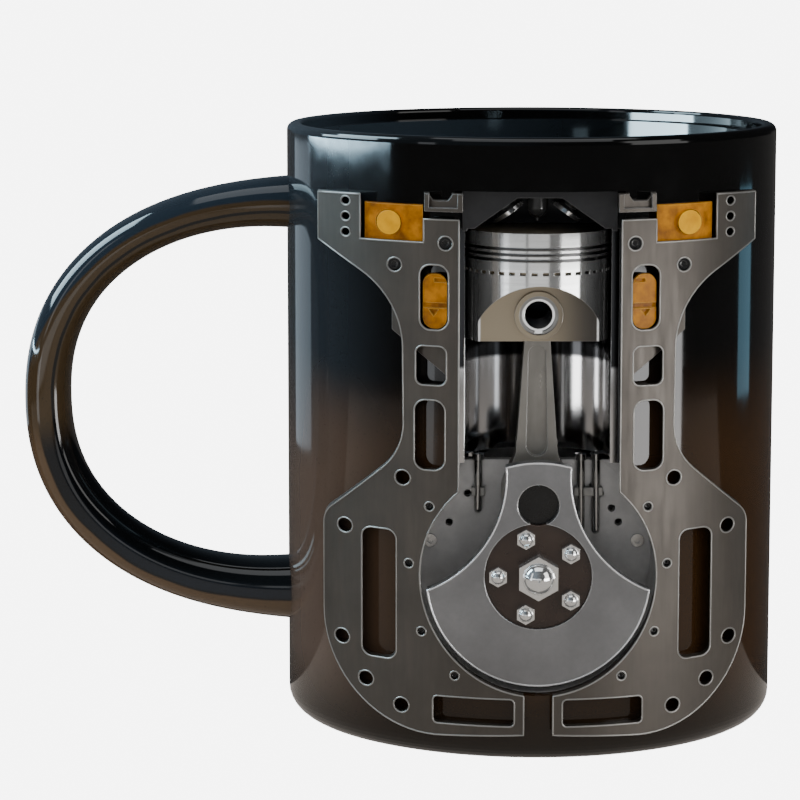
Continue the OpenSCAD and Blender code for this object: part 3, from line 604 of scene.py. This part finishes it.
def paperFinish(name, look, glow):
    f = Finish(name)
    f.fixed(Roughness=0.8, Specular_IOR_Level=0.1, Emission_Strength=glow, Emission_Color=(1, 1, 1, 1))
    cloud = f.mixed(f.grain(3), tuple(c * 0.98 for c in look["paper"]), look["paper"])
    f.join(cloud, f.shader.inputs["Base Color"])
    return f


half = roomLook["half"]
square = [(-half, -half, 0), (half, -half, 0), (half, half, 0), (-half, half, 0)]
floorPaper = paperFinish("floorPaper", roomLook, roomLook["glow"])
stageSheet("floor", square, [(0, 1, 2, 3)], floorPaper, ("camera",))
bouncePaper = paperFinish("bouncePaper", roomLook, 0.0)
stageSheet("bouncePaper", square, [(0, 1, 2, 3)], bouncePaper, ("diffuse", "shadow"))


# reflections meet a pale warm half disc in front, a dark one behind it and a dark ring beyond both
def glowFinish(name, color):
    f = Finish(name)
    f.fixed(Base_Color=(0, 0, 0, 1), Roughness=1.0, Specular_IOR_Level=0.0, Emission_Color=(*color, 1),
            Emission_Strength=1.0)
    return f


turn = np.linspace(0, 2 * np.pi, roomLook["ringSteps"], endpoint=False)
rim = np.stack([np.cos(turn), np.sin(turn), 0 * turn], -1)
near = rim * roomLook["flagFrom"]
front = near.copy()
front[:, 1] = np.minimum(front[:, 1], roomLook["nearBehind"])
stageSheet("nearCard", (front + (0, 0, 0.0004)).tolist(), [tuple(range(len(turn)))],
           glowFinish("nearCard", roomLook["nearColor"]), ("glossy",))
stageSheet("rearFlag", near.tolist(), [tuple(range(len(turn)))],
           glowFinish("rearFlag", roomLook["flagColor"]), ("glossy",))
inner = np.arange(len(turn))
ringFaces = np.stack([inner, inner + len(turn), np.roll(inner, -1) + len(turn), np.roll(inner, -1)], -1)
stageSheet("flagRing", np.concatenate([near, rim * roomLook["flagTo"]]).tolist(), ringFaces.tolist(),
           glowFinish("flagCloth", roomLook["flagColor"]), ("glossy",))


# the room: white where the camera looks, even daylight on matt surfaces, and for reflections
# a cool wall on the left, a dim one on the right and a warm lower half
def studioWorld(look):
    world = bpy.data.worlds.new("studio")
    bpy.context.scene.world = world
    world.use_nodes = True
    tree = world.node_tree
    tree.nodes.clear()
    add, link = tree.nodes.new, tree.links.new
    split = add("ShaderNodeSeparateXYZ")
    link(add("ShaderNodeTexCoord").outputs["Generated"], split.inputs[0])

    def faded(socket, low, high):
        node = add("ShaderNodeMapRange")
        node.interpolation_type = "SMOOTHSTEP"
        node.inputs["From Min"].default_value, node.inputs["From Max"].default_value = low, high
        link(socket, node.inputs["Value"])
        return node.outputs["Result"]

    def blended(factor, first, second):
        node = add("ShaderNodeMix")
        node.data_type = "RGBA"
        link(factor, node.inputs[0])
        for socket, value in ((node.inputs[6], first), (node.inputs[7], second)):
            if isinstance(value, tuple):
                socket.default_value = (*value, 1)
            else:
                link(value, socket)
        return node.outputs[2]

    def background(color, strength):
        node = add("ShaderNodeBackground")
        node.inputs["Strength"].default_value = strength
        if isinstance(color, tuple):
            node.inputs["Color"].default_value = (*color, 1)
        else:
            link(color, node.inputs["Color"])
        return node.outputs[0]

    def chosen(factor, first, second):
        node = add("ShaderNodeMixShader")
        link(factor, node.inputs[0])
        link(first, node.inputs[1])
        link(second, node.inputs[2])
        return node.outputs[0]

    wall = blended(faded(split.outputs["X"], -0.5, 0.35), look["cool"], look["dim"])
    reflected = blended(faded(split.outputs["Z"], -0.16, 0.02), look["warm"], wall)
    rays = add("ShaderNodeLightPath").outputs
    daylight = background((1.0, 1.0, 1.0), look["daylight"])
    inside = chosen(rays["Is Glossy Ray"], daylight, background(reflected, 1.0))
    whole = chosen(rays["Is Camera Ray"], inside, background((1.0, 1.0, 1.0), look["backdrop"]))
    link(whole, add("ShaderNodeOutputWorld").inputs[0])


studioWorld(roomLook)

# radiance is how bright each box looks; its power is radiance times pi times its area
lightLooks = {
    "rightBox": {"at": (0.52, -0.32, 0.30), "size": (0.34, 0.40), "radiance": 2.4,
                 "color": (1, 0.99, 0.97)},
    "leftStrip": {"at": (-0.50, -0.42, 0.30), "size": (0.10, 0.40), "radiance": 1.6,
                  "color": (0.92, 0.96, 1)},
    "topBox": {"at": (0.0, -0.10, 0.85), "size": (0.7, 0.7), "radiance": 1.5, "color": (0.95, 0.98, 1)},
    "lowRight": {"at": (0.20, -0.17, 0.028), "size": (0.17, 0.055), "radiance": 10.0, "color": (1, 1, 1),
                 "level": True, "gleam": True},
    "lowLeft": {"at": (-0.24, -0.20, 0.026), "size": (0.07, 0.05), "radiance": 2.0, "color": (0.9, 0.95, 1),
                "level": True, "gleam": True},
    "leftCard": {"at": (-0.15, -0.22, 0.045), "size": (0.16, 0.035), "radiance": 1.2,
                 "color": (0.97, 0.99, 1),
                 "level": True, "gleam": True},
    "midCard": {"at": (0.0, -0.30, 0.043), "size": (0.16, 0.035), "radiance": 1.1, "color": (1, 1, 1),
                "level": True, "gleam": True},
    "leftRear": {"at": (-0.21, 0.18, 0.042), "size": (0.10, 0.075), "radiance": 1.0,
                 "color": (0.70, 0.86, 1),
                 "level": True, "gleam": True},
    "blueStrip": {"at": (0.256, 0.093, 0.045), "size": (0.052, 0.050), "radiance": 1.7,
                  "color": (0.35, 0.75, 1),
                  "level": True, "gleam": True},
    "lipStrip": {"at": (-0.33, 0.03, 0.0768), "size": (0.36, 0.0045), "radiance": 34.0,
                 "color": (0.55, 0.82, 1),
                 "level": True, "gleam": True},
    "handleBox": {"at": (-0.50, 0.10, 0.42), "size": (0.36, 0.40), "radiance": 14.0,
                  "color": (0.62, 0.86, 1),
                  "gleam": True},
    "mouthCard": {"at": (-0.020, 0.019, 0.0945), "size": (0.022, 0.010), "radiance": 60.0,
                  "color": (0.62, 0.86, 1),
                  "level": True, "towards": (0.025, 0.029), "gleam": True},
}
for name, look in lightLooks.items():
    lamp = bpy.data.lights.new(name, "AREA")
    lamp.shape = "RECTANGLE"
    lamp.size, lamp.size_y = look["size"]
    lamp.energy = look["radiance"] * math.pi * lamp.size * lamp.size_y
    lamp.color = look["color"]
    holder = bpy.data.objects.new(name, lamp)
    bpy.context.scene.collection.objects.link(holder)
    holder.visible_camera = False
    holder.visible_diffuse = not look.get("gleam", False)  # a gleam shows only in reflections
    holder.location = look["at"]
    aim = Vector((*look.get("towards", (0, 0)), look["at"][2] if look.get("level") else 0.05))
    holder.rotation_euler = (aim - Vector(look["at"])).to_track_quat("-Z", "Y").to_euler()

cameraLook = {"at": (-0.022, -0.564, 0.1365), "pitchDown": 8.45, "lens": 151.0}
camera = bpy.data.cameras.new("viewer")
camera.lens = cameraLook["lens"]
camera.sensor_width = 36
camera.clip_start = 0.01
cameraHolder = bpy.data.objects.new("viewer", camera)
bpy.context.scene.collection.objects.link(cameraHolder)
cameraHolder.location = cameraLook["at"]
cameraHolder.rotation_euler = (math.radians(90 - cameraLook["pitchDown"]), 0, 0)
bpy.context.scene.camera = cameraHolder
